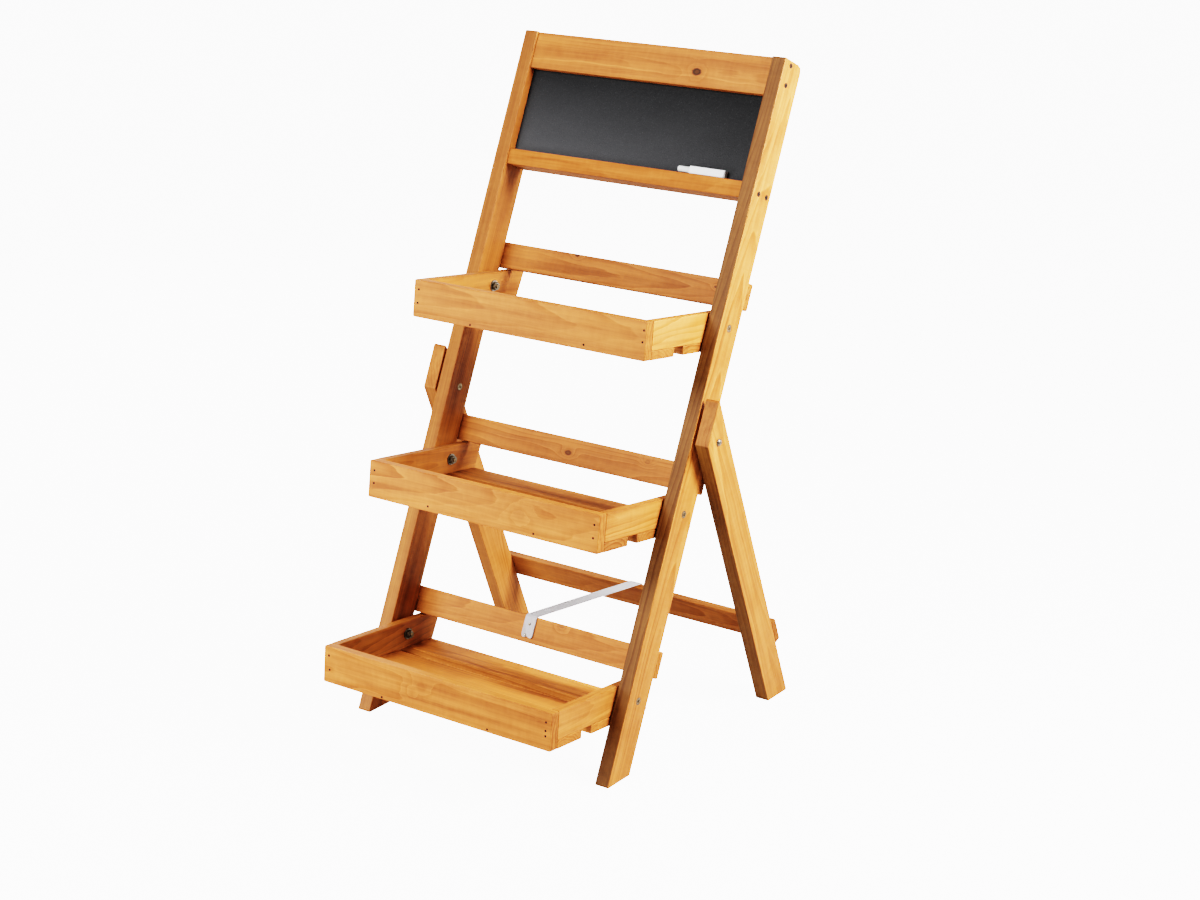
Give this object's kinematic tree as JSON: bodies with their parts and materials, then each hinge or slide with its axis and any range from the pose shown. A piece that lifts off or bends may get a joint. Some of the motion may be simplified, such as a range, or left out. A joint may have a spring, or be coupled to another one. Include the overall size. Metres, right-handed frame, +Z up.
{
  "type": "tiered plant stand",
  "caption": "Folding A-frame plant stand with hinged slatted tray shelves, a small chalkboard with a chalk ledge at the top, and a webbing strap that limits how far the rear legs open.",
  "frame": {"origin": "on the floor, under the middle of the open stand", "axes": "+Z up, +Y towards the back of the stand, +X to the right of someone facing its front"},
  "size_m": [0.396, 0.4358, 0.7348],
  "materials": {
    "wood": "satin",
    "chalkboard": "matt",
    "zinc": "satin",
    "webbing": "matt",
    "chalk": "matt",
    "chalk_holder": "gloss"
  },
  "bodies": {
    "front_frame": {"left_stile": "wood", "right_stile": "wood", "top_rail": "wood", "chalk_ledge": "wood", "chalkboard_panel": "chalkboard", "upper_back_rail": "wood", "middle_back_rail": "wood", "lower_back_rail": "wood", "chalk_holder": "chalk_holder", "chalk_stick": "chalk", "limit_strap": "webbing", "strap_upper_tack": "zinc", "strap_lower_tack": "zinc", "upper_tray_left_bolt": "zinc", "upper_tray_left_washer": "zinc", "upper_tray_left_nut": "zinc", "upper_tray_right_bolt": "zinc", "upper_tray_right_washer": "zinc", "upper_tray_right_nut": "zinc", "middle_tray_left_bolt": "zinc", "middle_tray_left_washer": "zinc", "middle_tray_left_nut": "zinc", "middle_tray_right_bolt": "zinc", "middle_tray_right_washer": "zinc", "middle_tray_right_nut": "zinc", "lower_tray_left_bolt": "zinc", "lower_tray_left_washer": "zinc", "lower_tray_left_nut": "zinc", "lower_tray_right_bolt": "zinc", "lower_tray_right_washer": "zinc", "lower_tray_right_nut": "zinc", "left_pivot_bolt": "zinc", "left_pivot_spacer": "zinc", "left_pivot_dome_nut": "zinc", "right_pivot_bolt": "zinc", "right_pivot_spacer": "zinc", "right_pivot_dome_nut": "zinc"},
    "rear_frame": {"left_rear_leg": "wood", "right_rear_leg": "wood", "rear_rail": "wood"},
    "tray_upper": {"upper_tray_front_board": "wood", "upper_tray_left_side": "wood", "upper_tray_right_side": "wood", "upper_tray_front_slat": "wood", "upper_tray_middle_slat": "wood", "upper_tray_rear_slat": "wood"},
    "tray_middle": {"middle_tray_front_board": "wood", "middle_tray_left_side": "wood", "middle_tray_right_side": "wood", "middle_tray_front_slat": "wood", "middle_tray_middle_slat": "wood", "middle_tray_rear_slat": "wood"},
    "tray_lower": {"lower_tray_front_board": "wood", "lower_tray_left_side": "wood", "lower_tray_right_side": "wood", "lower_tray_front_slat": "wood", "lower_tray_middle_slat": "wood", "lower_tray_rear_slat": "wood"}
  },
  "joints": [
    {"name": "rear_frame_fold", "type": "hinge", "parent": "front_frame", "child": "rear_frame", "pos_m": [0, 0.03298, 0.34536], "axis": [-1, 0, 0], "range_deg": [0, 45.6], "deforming": ["limit_strap"]},
    {"name": "tray_upper_fold", "type": "hinge", "parent": "front_frame", "child": "tray_upper", "pos_m": [0, 0.0826, 0.45681], "axis": [-1, 0, 0], "range_deg": [0, 106.5]},
    {"name": "tray_middle_fold", "type": "hinge", "parent": "front_frame", "child": "tray_middle", "pos_m": [0, -0.00098, 0.26908], "axis": [-1, 0, 0], "range_deg": [0, 106.5]},
    {"name": "tray_lower_fold", "type": "hinge", "parent": "front_frame", "child": "tray_lower", "pos_m": [0, -0.08456, 0.08134], "axis": [-1, 0, 0], "range_deg": [0, 108.5]}
  ],
  "couplings": [
    {"joint": "tray_lower_fold", "follows": "rear_frame_fold", "ratio": 2.379}
  ]
}
